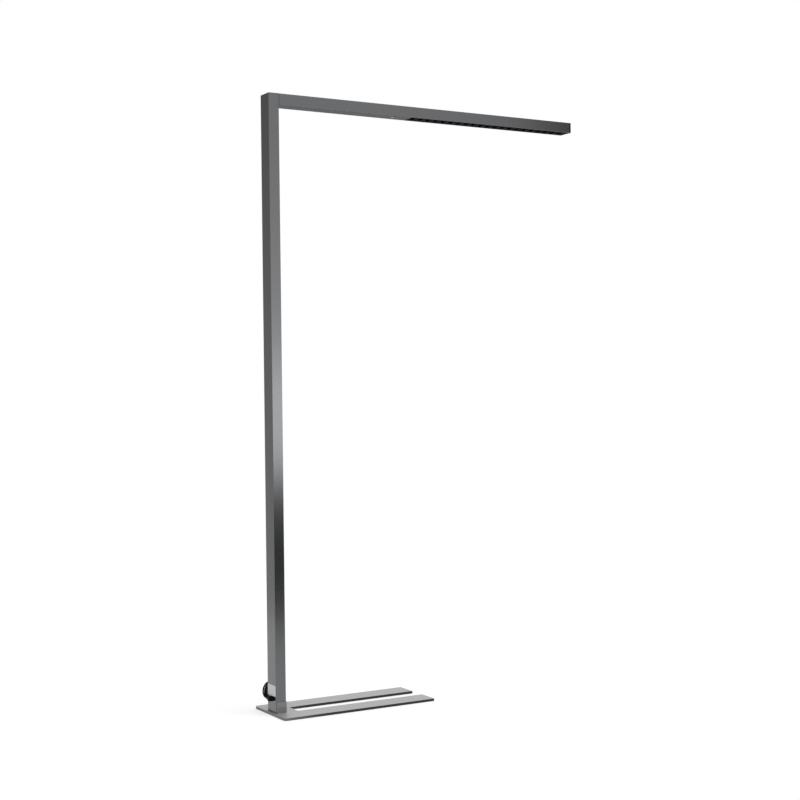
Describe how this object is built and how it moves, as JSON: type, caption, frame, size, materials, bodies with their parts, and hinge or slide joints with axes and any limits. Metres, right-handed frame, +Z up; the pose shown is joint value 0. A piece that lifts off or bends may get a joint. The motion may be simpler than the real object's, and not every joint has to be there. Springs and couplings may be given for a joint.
{
  "type": "office floor lamp",
  "caption": "Free-standing office lamp: slotted flat base that slides round a desk leg, slim upright post and a long arm over the desk with direct and indirect light.",
  "frame": {"origin": "on the floor, under the middle of the lamp without its mains lead", "axes": "+X along the arm away from the post, +Y across it towards the side that holds the coiled lead, +Z up"},
  "size_m": [1.1836, 0.236, 1.95],
  "materials": {
    "arm_metal": "satin grey anodised extrusion",
    "steel_plate": "brushed and lacquered",
    "plain_steel": "milled",
    "screw_steel": "zinc plated",
    "cast_metal": "as cast",
    "foot_rubber": "matte",
    "dark_plastic": "fine texture",
    "black_optic": "glossy black reflector",
    "clear_plastic": "prismatic clear",
    "opal_plastic": "opal satin",
    "white_plastic": "moulded",
    "light_button": "satin light grey",
    "board": "white solder mask",
    "label_white": "blank polyester label",
    "cord_black": "smooth black sheath",
    "plug_black": "moulded",
    "pin_brass": "nickel plated",
    "tie_fabric": "woven hook and loop"
  },
  "bodies": {
    "lamp": {"base_plate": "steel_plate", "base_feet": "foot_rubber", "base_screws": "screw_steel", "foot_spigot": "plain_steel", "foot_collar": "arm_metal", "grub_screws": "screw_steel", "post_tube": "arm_metal", "post_cap": "arm_metal", "corner_bracket": "cast_metal", "corner_screws": "screw_steel", "tongue_screws": "screw_steel", "arm_housing": "arm_metal", "arm_bottom_cover": "arm_metal", "arm_end_cap": "dark_plastic", "louvre": "black_optic", "down_lens": "clear_plastic", "down_led_board": "board", "up_led_board": "board", "top_cover": "arm_metal", "top_diffuser": "opal_plastic", "led_driver": "white_plastic", "driver_screws": "screw_steel", "terminal_block": "white_plastic", "supply_cable": "cord_black", "output_wires": "cord_black", "control_board": "board", "control_spacers": "white_plastic", "sensor_lens": "opal_plastic", "sensor_body": "white_plastic", "button_guide": "dark_plastic", "button_switch": "dark_plastic", "type_label": "label_white", "cord_outlet": "dark_plastic", "outlet_nut": "dark_plastic", "outlet_relief": "cord_black", "cord_lead": "cord_black", "cord_coil": "cord_black", "cord_tail": "cord_black", "plug_relief": "cord_black", "plug_housing": "plug_black", "plug_pins": "pin_brass", "cord_tie": "tie_fabric", "cord_clip": "dark_plastic"},
    "button": {"push_button": "light_button"}
  },
  "joints": [
    {"name": "button_press", "type": "slide", "parent": "lamp", "child": "button", "axis": [0, 0, 1], "range_m": [0, 0.0012], "stiffness_N_per_m": 400}
  ]
}
